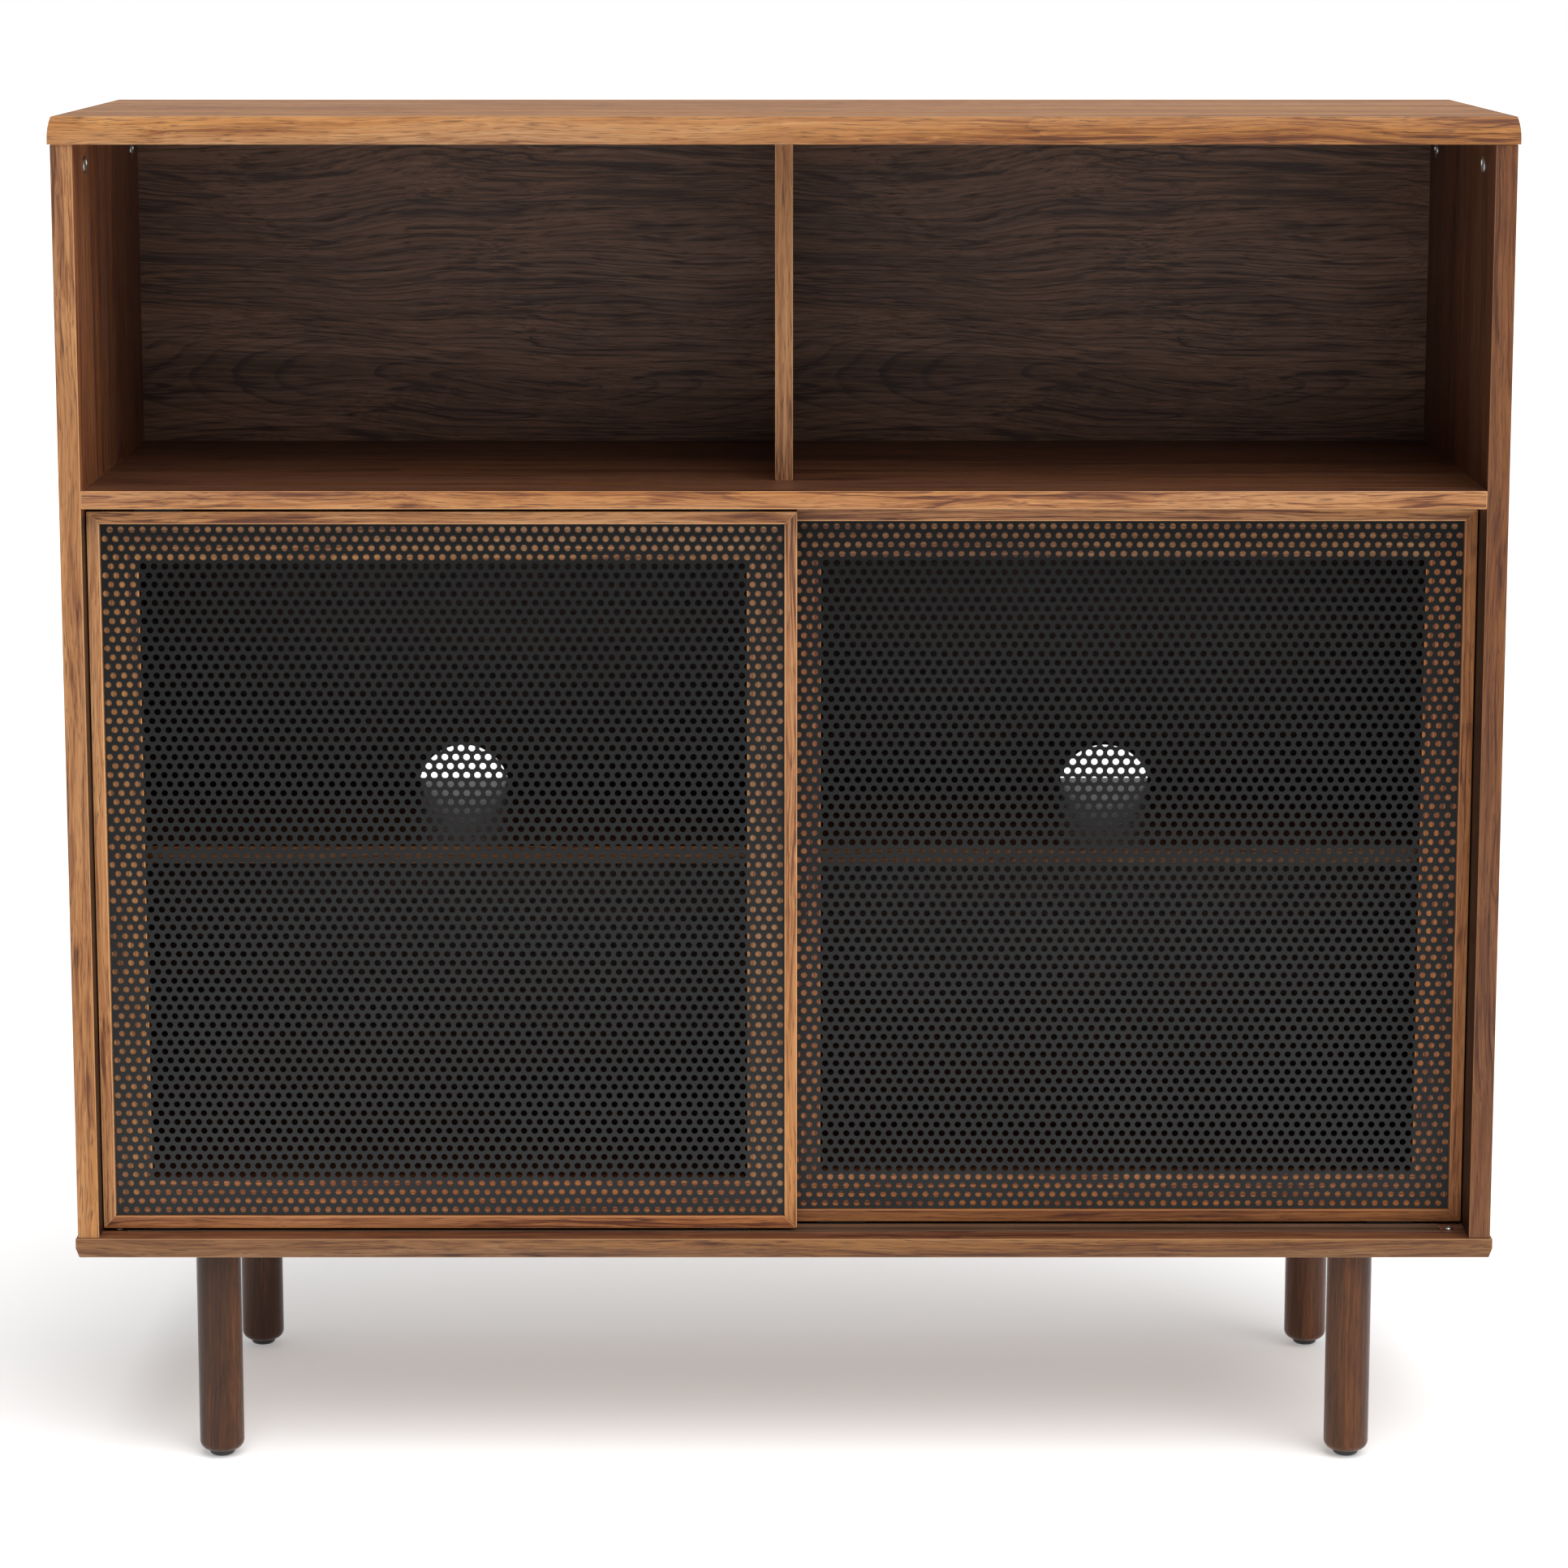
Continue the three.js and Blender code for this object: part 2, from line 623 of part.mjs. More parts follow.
function addDoor(doorName, startX, setback) {
  const door = new THREE.Group();
  door.position.set(startX, FRONT_Y + setback, BOTTOM_TOP_Z + DOOR_LIFT);
  cabinet.add(door);
  for (const [memberName, outline] of Object.entries(doorFrameOutlines())) {
    addMesh(door, `${doorName}_${memberName}`, frameMember(outline), makeWalnut());
  }
  addMesh(door, `${doorName}_perforated_sheet`, doorSheet(), makeSheetPaint());
  const ends = { left: GUIDE_INSET, right: DOOR_WIDTH - GUIDE_INSET };
  for (const [endName, x] of Object.entries(ends)) {
    const lower = addMesh(
      door,
      `${doorName}_lower_guide_${endName}`,
      doorGuide(-1, LOWER_GUIDE_DROP),
      makeBlackPlastic()
    );
    lower.position.set(x, DOOR_THICKNESS / 2, 0);
    const upper = addMesh(
      door,
      `${doorName}_upper_guide_${endName}`,
      doorGuide(1, UPPER_GUIDE_RISE),
      makeBlackPlastic()
    );
    upper.position.set(x, DOOR_THICKNESS / 2, DOOR_HEIGHT);
  }
}

addCarcass();
addShelfPins();
addCamLocks();
addTracks();
addStopScrews();
addLegs();
addDoor("front_door", -SIDE_INNER_X + DOOR_SIDE_GAP, FRONT_DOOR_SETBACK);
addDoor("rear_door", SIDE_INNER_X - DOOR_SIDE_GAP - DOOR_WIDTH, REAR_DOOR_SETBACK);

export default cabinet;
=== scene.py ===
"""Looks for a media cabinet: walnut-look boards, two sliding doors of perforated sheet and round
legs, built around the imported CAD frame. Metres, +Z up, the front faces -Y."""

import math

import bpy
from mathutils import Matrix, Vector


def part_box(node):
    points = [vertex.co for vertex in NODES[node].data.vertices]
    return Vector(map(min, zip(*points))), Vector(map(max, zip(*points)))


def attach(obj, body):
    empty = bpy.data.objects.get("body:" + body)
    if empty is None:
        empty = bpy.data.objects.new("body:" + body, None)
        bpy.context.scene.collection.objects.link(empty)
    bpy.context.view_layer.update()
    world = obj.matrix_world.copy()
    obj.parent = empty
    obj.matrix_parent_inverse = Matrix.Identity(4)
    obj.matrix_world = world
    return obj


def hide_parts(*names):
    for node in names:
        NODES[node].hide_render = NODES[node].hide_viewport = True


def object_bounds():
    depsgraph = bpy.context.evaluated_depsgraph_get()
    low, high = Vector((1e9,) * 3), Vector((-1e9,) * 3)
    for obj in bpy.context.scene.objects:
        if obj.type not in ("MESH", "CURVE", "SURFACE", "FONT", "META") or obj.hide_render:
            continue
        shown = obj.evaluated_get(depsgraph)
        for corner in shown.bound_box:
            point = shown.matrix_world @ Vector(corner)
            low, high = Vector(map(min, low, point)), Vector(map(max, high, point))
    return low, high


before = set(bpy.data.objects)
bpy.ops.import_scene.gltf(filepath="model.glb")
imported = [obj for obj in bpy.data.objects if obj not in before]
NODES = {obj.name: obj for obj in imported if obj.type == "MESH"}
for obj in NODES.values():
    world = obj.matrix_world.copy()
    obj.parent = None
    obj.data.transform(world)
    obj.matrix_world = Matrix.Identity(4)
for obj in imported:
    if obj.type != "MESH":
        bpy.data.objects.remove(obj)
CAD_LOW, CAD_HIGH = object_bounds()
SHELF_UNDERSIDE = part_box("middle_shelf")[0].z

# ------------------------------------------------------------------ driving values

CAMERA_DISTANCE = 3.81  # from the front plane
CAMERA_ABOVE_TOP = 0.146
CAMERA_TILT = math.radians(9.6)
CAMERA_LENS = 106.8
CAMERA_SENSOR = 36.0
CAMERA_SHIFT_Y = -0.04
CAMERA_CLIP = (0.1, 200.0)

KEY_FROM = Vector((0.45, -0.75, 1.35))
KEY_STRENGTH = 2.8
KEY_ANGLE = math.radians(60)
AMBIENT_STRENGTH = 0.42
BACKDROP_STRENGTH = 1.0
WHITE = (1.0, 1.0, 1.0, 1.0)

FLOOR_RADIUS = 60.0
FLOOR_SEGMENTS = 64
FLOOR_DROP = 0.0005  # keeps the floor clear of the glides
FLOOR_COLOUR = (0.92, 0.92, 0.92, 1.0)
FLOOR_GLOW = 0.30  # lifts the shadow under the cabinet

BOARD_EDGE_ROUND = 0.0008
TRACK_EDGE_ROUND = 0.0003
WELD_DISTANCE = 0.00001

HOLE_PITCH_X = 0.00905
HOLE_PITCH_Z = 0.00767
HOLE_COLUMNS = 63  # in a full row; the rows between have one fewer
HOLE_ROWS = 77
HOLE_RADIUS = 0.0029
OCTAGON_NEAR = math.cos(math.radians(22.5))
OCTAGON_FAR = math.sin(math.radians(22.5))

TURNED_SEGMENTS = 96
LEG_END_ROUND = 0.008
CROSS_HALF_ARM = math.radians(15)
LOCK_RIM_HEIGHT = 0.0005
LOCK_CROSS_DEPTH = 0.0045
SCREW_HEAD = 0.0022
SCREW_SHOULDER = 0.0006  # height of the head's upright edge
SCREW_DOME_END = 55  # degrees up the dome at which the driver's cross begins


# ------------------------------------------------------------------ node helpers


class Nodes:
    """A short way to write a material's node tree."""

    def __init__(self, tree):
        self.tree = tree
        self.seed = 0.0

    def add(self, kind, **settings):
        node = self.tree.nodes.new(kind)
        for key, value in settings.items():
            setattr(node, key, value)
        return node

    def link(self, source, target):
        self.tree.links.new(source, target)

    def feed(self, socket, value):
        if isinstance(value, bpy.types.NodeSocket):
            self.link(value, socket)
        else:
            socket.default_value = value

    def math(self, operation, a, b=0.0, clamp=False):
        node = self.add("ShaderNodeMath", operation=operation, use_clamp=clamp)
        self.feed(node.inputs[0], a)
        self.feed(node.inputs[1], b)
        return node.outputs[0]

    def vector(self, operation, a, b):
        node = self.add("ShaderNodeVectorMath", operation=operation)
        self.feed(node.inputs[0], a)
        self.feed(node.inputs[1], b)
        return node.outputs["Value" if operation == "DOT_PRODUCT" else "Vector"]

    def combine(self, x, y, z):
        node = self.add("ShaderNodeCombineXYZ")
        for socket, value in zip(node.inputs, (x, y, z)):
            self.feed(socket, value)
        return node.outputs[0]

    def separate(self, vector):
        node = self.add("ShaderNodeSeparateXYZ")
        self.link(vector, node.inputs[0])
        return node.outputs

    def noise(self, vector, stretch, detail=2.0, roughness=0.5):
        """Noise in 0..1 whose grain size along each axis is 1 / stretch metres."""
        node = self.add("ShaderNodeTexNoise", noise_dimensions="4D")
        self.link(self.vector("MULTIPLY", vector, stretch), node.inputs["Vector"])
        node.inputs["W"].default_value = self.seed
        node.inputs["Scale"].default_value = 1.0
        node.inputs["Detail"].default_value = detail
        node.inputs["Roughness"].default_value = roughness
        return node.outputs[0]

    def spread(self, value, low, high, to_low=0.0, to_high=1.0):
        node = self.add("ShaderNodeMapRange", clamp=True)
        self.link(value, node.inputs["Value"])
        for key, number in (
            ("From Min", low),
            ("From Max", high),
            ("To Min", to_low),
            ("To Max", to_high),
        ):
            node.inputs[key].default_value = number
        return node.outputs[0]

    def ramp(self, value, stops):
        node = self.add("ShaderNodeValToRGB")
        self.link(value, node.inputs[0])
        elements = node.color_ramp.elements
        while len(elements) < len(stops):
            elements.new(0.5)
        for element, (position, colour) in zip(elements, stops):
            element.position = position
            element.color = (*colour, 1.0)
        return node.outputs[0]

    def mix(self, factor, a, b, blend="MIX"):
        node = self.add("ShaderNodeMix", data_type="RGBA", blend_type=blend)
        self.feed(node.inputs["Factor"], factor)
        self.feed(node.inputs["A"], a)
        self.feed(node.inputs["B"], b)
        return node.outputs["Result"]

    def bump(self, height, strength, distance):
        node = self.add("ShaderNodeBump")
        self.link(height, node.inputs["Height"])
        node.inputs["Strength"].default_value = strength
        node.inputs["Distance"].default_value = distance
        return node.outputs[0]


def new_material(name):
    material = bpy.data.materials.new(name)
    material.use_nodes = True
    tree = material.node_tree
    return material, Nodes(tree), tree.nodes["Principled BSDF"]


# ------------------------------------------------------------------ materials

WALNUT_STOPS = (
    (0.00, (0.115, 0.038, 0.016)),
    (0.22, (0.225, 0.086, 0.030)),
    (0.48, (0.350, 0.155, 0.056)),
    (0.75, (0.440, 0.215, 0.086)),
    (1.00, (0.520, 0.285, 0.130)),
)
# Walnut darkened as painted shade, for the boards' inward faces and the back panels' inside.
INNER_SHADE_STOPS = (
    (0.00, (0.030, 0.013, 0.008)),
    (0.25, (0.068, 0.033, 0.021)),
    (0.50, (0.108, 0.056, 0.036)),
    (0.78, (0.150, 0.082, 0.054)),
    (1.00, (0.200, 0.115, 0.078)),
)
LATE_WOOD = ((0.0, 0.35), (0.08, 0.0), (0.7, 0.08), (0.92, 1.0))  # share of a ring, darkness
REAR_STOPS = (
    (0.0, (0.215, 0.128, 0.070)),
    (0.5, (0.268, 0.164, 0.092)),
    (1.0, (0.310, 0.196, 0.114)),
)
RABBET_SHADE_TONE = 0.70  # one tone for the wood in the rabbets, painted shade behind the sheets, the same behind light and dark members
PLAIN_HUE = (1.0, 1.0, 1.0)
# hue of the painted shade on the boards' inward faces
PAINTED_SHADE_HUE = (1.08, 0.92, 1.15)
# hue of darker boards: the right side panel's own tone, and partly painted shade on the darker door
# members
DARK_BOARD_AND_SHADE_HUE = (1.08, 0.88, 0.74)
WARM_TINT = (1.10, 1.00, 0.74, 1.0)
COOL_TINT = (0.95, 0.97, 1.10, 1.0)
PORE_COLOUR = (0.03, 0.012, 0.008, 1.0)
PORE_SHARE = 0.6
FACING = (0.86, 0.96)  # how squarely a face looks along an axis to take the second stops, which are mostly painted shade
ARRIS = (0.93, 0.95)  # a normal's longest part is below this on a rounded arris
LEG_STOPS = (
    (0.00, (0.030, 0.014, 0.008)),
    (0.30, (0.048, 0.021, 0.011)),
    (0.60, (0.072, 0.029, 0.013)),
    (0.85, (0.108, 0.039, 0.015)),
    (1.00, (0.150, 0.053, 0.019)),
)

# Noise sizes of the walnut figure, as repeats per metre along the grain and twice across it.
SWAY = (2.0, 6.0, 6.0)
RIPPLE = (9.0, 40.0, 40.0)
BROAD = (0.9, 16.0, 16.0)
BAND = (2.0, 75.0, 75.0)
FIBRE = (8.0, 520.0, 520.0)
LINES = (2.4, 190.0, 190.0)
PATCHES = (4.0, 42.0, 42.0)
PORES = (45.0, 1300.0, 1300.0)
STAIN = (8.0, 75.0, 75.0)
TINT = (1.3, 38.0, 38.0)
RIPPLE_HEIGHT = 0.0022


def toned(stops, tone, hue=PLAIN_HUE):
    """The stops made lighter or darker, and warmer or cooler through the hue."""
    return [(at, tuple(a * b * tone for a, b in zip(colour, hue))) for at, colour in stops]


def grain_space(n, axes, heart):
    """Object coordinates with the grain turned to run along X, measured from the log's heart."""
    coordinates = n.add("ShaderNodeTexCoord").outputs["Object"]
    parts = dict(zip("xyz", n.separate(coordinates)))
    return n.vector("SUBTRACT", n.combine(*(parts[axis] for axis in axes)), heart)


def flowing(n, place, swing):
    """The same place with its grain lines swinging gently across the board."""
    shifts = []
    for turn in (0.0, 3.7):
        moved = n.vector("ADD", place, (turn, turn, turn))
        sway = n.spread(n.noise(moved, SWAY), 0.2, 0.8, -swing, swing)
        ripple = n.spread(n.noise(moved, RIPPLE), 0.2, 0.8, -RIPPLE_HEIGHT, RIPPLE_HEIGHT)
        shifts.append(n.math("ADD", sway, ripple))
    return n.vector("ADD", place, n.combine(0.0, *shifts))


def growth_rings(n, flow, gap, slope):
    """Late wood of the growth rings, 0 to 1. The heart rises slowly through the board, which
    draws the flames of a flat-sawn face. Each ring has a strength of its own."""
    u, v, w = n.separate(flow)
    depth = n.math("ADD", w, n.math("MULTIPLY", u, slope))
    squares = n.math("ADD", n.math("MULTIPLY", v, v), n.math("MULTIPLY", depth, depth))
    turns = n.math("DIVIDE", n.math("SQRT", squares), gap)
    within = n.math("FRACT", turns)
    late = n.ramp(within, tuple((at, (level,) * 3) for at, level in LATE_WOOD))
    own = n.add("ShaderNodeTexWhiteNoise", noise_dimensions="1D")
    n.link(n.math("FLOOR", turns), own.inputs["W"])
    return n.math("MULTIPLY", late, n.spread(own.outputs["Value"], 0.0, 1.0, 0.15, 1.0))


def grain_lines(n, flow, width):
    """Long thin dark lines that run with the grain, 0 to 1."""
    level = n.noise(flow, LINES, 1.0)
    return n.spread(n.math("ABSOLUTE", n.math("SUBTRACT", level, 0.5)), 0.0, width, 1.0, 0.0)


def dimmed(n, colour, axis, low, high, low_factor, high_factor):
    """The colour with its brightness changing along an object axis, used here for painted shade."""
    along = n.separate(n.add("ShaderNodeTexCoord").outputs["Object"])["xyz".index(axis)]
    dim = n.spread(along, low, high, low_factor, high_factor)
    return n.vector("MULTIPLY", colour, n.combine(dim, dim, dim))


# Painted shade: darker below the shelf, inside the closed bays.
def painted_shade_below_shelf(n, colour, factor):
    return dimmed(n, colour, "z", SHELF_UNDERSIDE - 0.01, SHELF_UNDERSIDE, factor, 1.0)


def arrises(n, strength):
    """Mask of a board's rounded arrises, whose faces look along no axis, for a painted highlight."""
    normal = n.separate(n.add("ShaderNodeTexCoord").outputs["Normal"])
    longest = n.math("ABSOLUTE", normal[0])
    for part in (normal[1], normal[2]):
        longest = n.math("MAXIMUM", longest, n.math("ABSOLUTE", part))
    return n.spread(longest, *ARRIS, strength, 0.0)


def walnut_figure(n, flow, ring_gap, ring_share, slope, contrast):
    """Lightness of the walnut figure, 0 to 1, and its fibre and pores."""
    rings = growth_rings(n, flow, ring_gap, slope)
    broad = n.spread(n.noise(flow, BROAD, 1.0), 0.3, 0.7)
    band = n.spread(n.noise(flow, BAND), 0.28, 0.72)
    fibre = n.spread(n.noise(flow, FIBRE, 4.0, 0.7), 0.30, 0.70)
    lines = grain_lines(n, flow, 0.06)
    patches = n.spread(n.noise(flow, PATCHES), 0.36, 0.62)
    pores = n.spread(n.noise(flow, PORES, 1.0), 0.32, 0.44)
    stain = n.spread(n.noise(flow, STAIN, 3.0), 0.60, 0.72)

    value = n.math("MULTIPLY", fibre, 0.68)
    for part, share in ((band, 0.52), (broad, 0.36)):
        value = n.math("ADD", value, n.math("MULTIPLY", part, share))
    value = n.math("SUBTRACT", value, 0.20)
    dark = n.math("MULTIPLY", n.math("MULTIPLY", lines, patches), 0.48 * contrast)
    dark = n.math("ADD", dark, n.math("MULTIPLY", rings, ring_share))
    dark = n.math("ADD", dark, n.math("MULTIPLY", stain, 0.45 * contrast))
    return n.math("SUBTRACT", value, dark, clamp=True), fibre, pores


def with_second_finish_and_shade(n, colour, value, second, dim, painted_rear_shade):
    """The colour with other stops over the faces that look along an axis: painted shade on the boards'
    inward faces, a tone of its own on the top panel's faces, and the plain board on the back panels'
    rear. dim darkens these stops below the shelf and painted_rear_shade towards the rear, both as
    painted shade. second is (axis, sense, stops), with a sense of 0 for both ways."""
    axis, sense, stops = second
    normal = n.separate(n.add("ShaderNodeTexCoord").outputs["Normal"])["xyz".index(axis)]
    if sense == 0:
        facing = n.math("ABSOLUTE", normal)
    else:
        facing = n.math("MULTIPLY", normal, float(sense))
    finish = n.ramp(value, stops)
    # painted shade below the shelf and towards the rear
    if dim < 1.0:
        finish = painted_shade_below_shelf(n, finish, dim)
    if painted_rear_shade < 1.0:
        finish = dimmed(n, finish, "y", CAD_LOW.y, CAD_HIGH.y, 1.0, painted_rear_shade)
    return n.mix(n.spread(facing, *FACING), colour, finish)


def wood(
    name,
    axes,
    stops,
    heart,
    second=None,
    seed=0.0,
    ring_gap=0.0085,
    ring_share=0.2,
    slope=0.11,
    swing=0.010,
    contrast=1.0,
    tint_share=1.0,
    satin=0.46,
    gloss=0.34,
    painted_arris_highlight=0.55,
    first_painted_shade=1.0,
    second_painted_shade=1.0,
    second_painted_rear_shade=1.0,
    rabbet_y=None,
    rabbet_shade=1.0,
):
    """Walnut-look surface. second is the stops of with_second_finish_and_shade, mostly painted shade.
    first_painted_shade and second_painted_shade darken the first and the second stops inside the
    closed bays as painted shade, and second_painted_rear_shade darkens the second towards the rear as
    painted shade. Behind rabbet_y, rabbet_shade takes the wood to its own tone, a painted shade behind
    the sheet. painted_arris_highlight sets a painted highlight on the rounded arrises."""
    material, n, shader = new_material(name)
    n.seed = seed
    flow = flowing(n, grain_space(n, axes, heart), swing)
    value, fibre, pores = walnut_figure(n, flow, ring_gap, ring_share, slope, contrast)

    colour = n.ramp(value, stops)
    # painted shade below the shelf
    if first_painted_shade < 1.0:
        colour = painted_shade_below_shelf(n, colour, first_painted_shade)
    # painted shade in the rabbet behind the sheet
    if rabbet_y is not None:
        colour = dimmed(n, colour, "y", rabbet_y - 0.0005, rabbet_y, 1.0, rabbet_shade)
    if second:
        colour = with_second_finish_and_shade(n, colour, value, second, second_painted_shade, second_painted_rear_shade)
    warmth = n.mix(n.spread(n.noise(flow, TINT, 1.0), 0.35, 0.65), WARM_TINT, COOL_TINT)
    colour = n.mix(tint_share, colour, warmth, "MULTIPLY")
    colour = n.mix(n.spread(pores, 0.0, 1.0, PORE_SHARE, 0.0), colour, PORE_COLOUR)
    # painted highlight along the rounded arrises, lighter than the lightest walnut
    if painted_arris_highlight > 0.0:
        arris_highlight = tuple(min(1.0, 1.25 * channel) for channel in stops[-1][1])
        colour = n.mix(arrises(n, painted_arris_highlight), colour, (*arris_highlight, 1.0))
    n.link(colour, shader.inputs["Base Color"])

    roughness = n.spread(n.math("ADD", fibre, pores), 0.4, 1.6, satin + 0.12, satin - 0.04)
    n.link(roughness, shader.inputs["Roughness"])
    height = n.math("ADD", n.math("MULTIPLY", fibre, 0.35), pores)
    n.link(n.bump(height, 0.35, 0.00018), shader.inputs["Normal"])
    shader.inputs["Specular IOR Level"].default_value = gloss
    return material


def powder_coat(name, colour):
    """Fine matt black coat, with painted shading: slightly lighter towards the foot of the door."""
    material, n, shader = new_material(name)
    place = n.add("ShaderNodeTexCoord").outputs["Object"]
    fine = n.noise(place, (1500.0,) * 3, 2.0)
    cloud = n.noise(place, (9.0,) * 3, 2.0)
    tone = n.math("ADD", n.math("MULTIPLY", fine, 0.5), n.math("MULTIPLY", cloud, 0.5))
    low = tuple(channel * 0.75 for channel in colour)
    high = tuple(channel * 1.3 for channel in colour)
    # painted shading: lighter low on the door, darker high up
    painted_shading = n.spread(n.separate(place)[2], 0.2, 0.8, 1.6, 0.5)
    colour = n.ramp(tone, ((0.3, low), (0.7, high)))
    n.link(n.vector("MULTIPLY", colour, n.combine(painted_shading, painted_shading, painted_shading)), shader.inputs["Base Color"])
    n.link(n.spread(cloud, 0.3, 0.7, 0.40, 0.52), shader.inputs["Roughness"])
    n.link(n.bump(fine, 0.25, 0.00008), shader.inputs["Normal"])
    shader.inputs["Specular IOR Level"].default_value = 0.13
    return material


def moulded_plastic(name, colour, roughness, gloss=0.5):
    material, n, shader = new_material(name)
    place = n.add("ShaderNodeTexCoord").outputs["Object"]
    grain = n.noise(place, (900.0,) * 3, 2.0)
    scuff = n.noise(place, (14.0, 60.0, 60.0), 3.0)
    low = tuple(channel * 0.8 for channel in colour)
    high = tuple(channel * 1.2 for channel in colour)
    n.link(n.ramp(scuff, ((0.3, low), (0.7, high))), shader.inputs["Base Color"])
    rough = n.spread(scuff, 0.3, 0.7, roughness - 0.06, roughness + 0.08)
    n.link(rough, shader.inputs["Roughness"])
    n.link(n.bump(grain, 0.2, 0.00006), shader.inputs["Normal"])
    shader.inputs["Specular IOR Level"].default_value = gloss
    return material


def plated_zinc(name):
    material, n, shader = new_material(name)
    place = n.add("ShaderNodeTexCoord").outputs["Object"]
    spangle = n.noise(place, (420.0,) * 3, 3.0)
    n.link(
        n.ramp(spangle, ((0.3, (0.52, 0.53, 0.54)), (0.7, (0.78, 0.78, 0.77)))),
        shader.inputs["Base Color"],
    )
    n.link(n.spread(spangle, 0.3, 0.7, 0.22, 0.38), shader.inputs["Roughness"])
    shader.inputs["Metallic"].default_value = 1.0
    return material


def back_board(name, heart):
    """Walnut print inside, darkened as painted shade and darker still below the shelf, plain brown
    board behind.
    """
    return wood(
        name,
        "xzy",
        toned(INNER_SHADE_STOPS, 1.22, (1.02, 0.97, 0.86)),
        heart,
        second=("y", 1, REAR_STOPS),
        ring_gap=0.0062,
        ring_share=0.42,
        slope=0.15,
        swing=0.026,
        contrast=1.5,
        tint_share=0.35,
        first_painted_shade=0.45,
    )


# ------------------------------------------------------------------ mesh helpers


def set_material(obj, material):
    obj.data.materials.clear()
    obj.data.materials.append(material)


def welded(obj):
    weld = obj.modifiers.new("weld", "WELD")
    weld.merge_threshold = WELD_DISTANCE


def rounded(obj, width):
    """Small rounds on a CAD node's sharp edges, as modifiers, so the node's mesh stays as it is."""
    welded(obj)
    bevel = obj.modifiers.new("edge_round", "BEVEL")
    bevel.width = width
    bevel.segments = 2
    bevel.limit_method = "ANGLE"
    bevel.angle_limit = math.radians(35)
    bevel.use_clamp_overlap = True
    bevel.harden_normals = False


def add_piece(name, vertices, faces, material, body, nodes, smooth_angle=None):
    """A new visible piece that rides on a body and stands for the CAD nodes given."""
    mesh = bpy.data.meshes.new(name)
    mesh.from_pydata(vertices, [], faces)
    mesh.validate()
    mesh.update()
    obj = bpy.data.objects.new(name, mesh)
    bpy.context.scene.collection.objects.link(obj)
    mesh.materials.append(material)
    if smooth_angle is not None:
        mesh.shade_smooth()
        mesh.set_sharp_from_angle(angle=smooth_angle)
    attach(obj, body)
    if nodes:
        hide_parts(*nodes)
    return obj


def turned_mesh(profile, segments=TURNED_SEGMENTS):
    """Vertices and faces of [radius, z] points turned about Z. The ends lie on the axis. A radius
    may be a function of the angle."""
    vertices = []
    rows = []
    for radius, z in profile:
        if radius == 0.0:
            rows.append([len(vertices)] * segments)
            vertices.append((0.0, 0.0, z))
            continue
        rows.append(list(range(len(vertices), len(vertices) + segments)))
        for step in range(segments):
            angle = 2 * math.pi * step / segments
            reach = radius(angle) if callable(radius) else radius
            vertices.append((reach * math.cos(angle), reach * math.sin(angle), z))
    faces = []
    for low, high in zip(rows, rows[1:]):
        for step in range(segments):
            after = (step + 1) % segments
            corners = (low[step], low[after], high[after], high[step])
            faces.append(tuple(dict.fromkeys(corners)))
    return vertices, faces


def cross_outline(reach):
    """Outline of a driver's cross, as a radius for each angle. The corners of its arms fall on the
    turning steps."""

    def radius(angle):
        folded = angle % (math.pi / 2)
        folded = min(folded, math.pi / 2 - folded)
        if folded <= CROSS_HALF_ARM + 1e-6:
            return reach / math.cos(folded)
        return reach * math.tan(CROSS_HALF_ARM) / math.sin(folded)

    return radius


def quarter(centre_radius, centre_z, radius_across, radius_up, start, end, steps=8):
    """Points on a quarter ellipse of a turned profile, from start to end in degrees."""
    points = []
    for step in range(steps + 1):
        angle = math.radians(start + (end - start) * step / steps)
        across = centre_radius + radius_across * math.cos(angle)
        points.append((across, centre_z + radius_up * math.sin(angle)))
    return points


# ------------------------------------------------------------------ boards and tracks


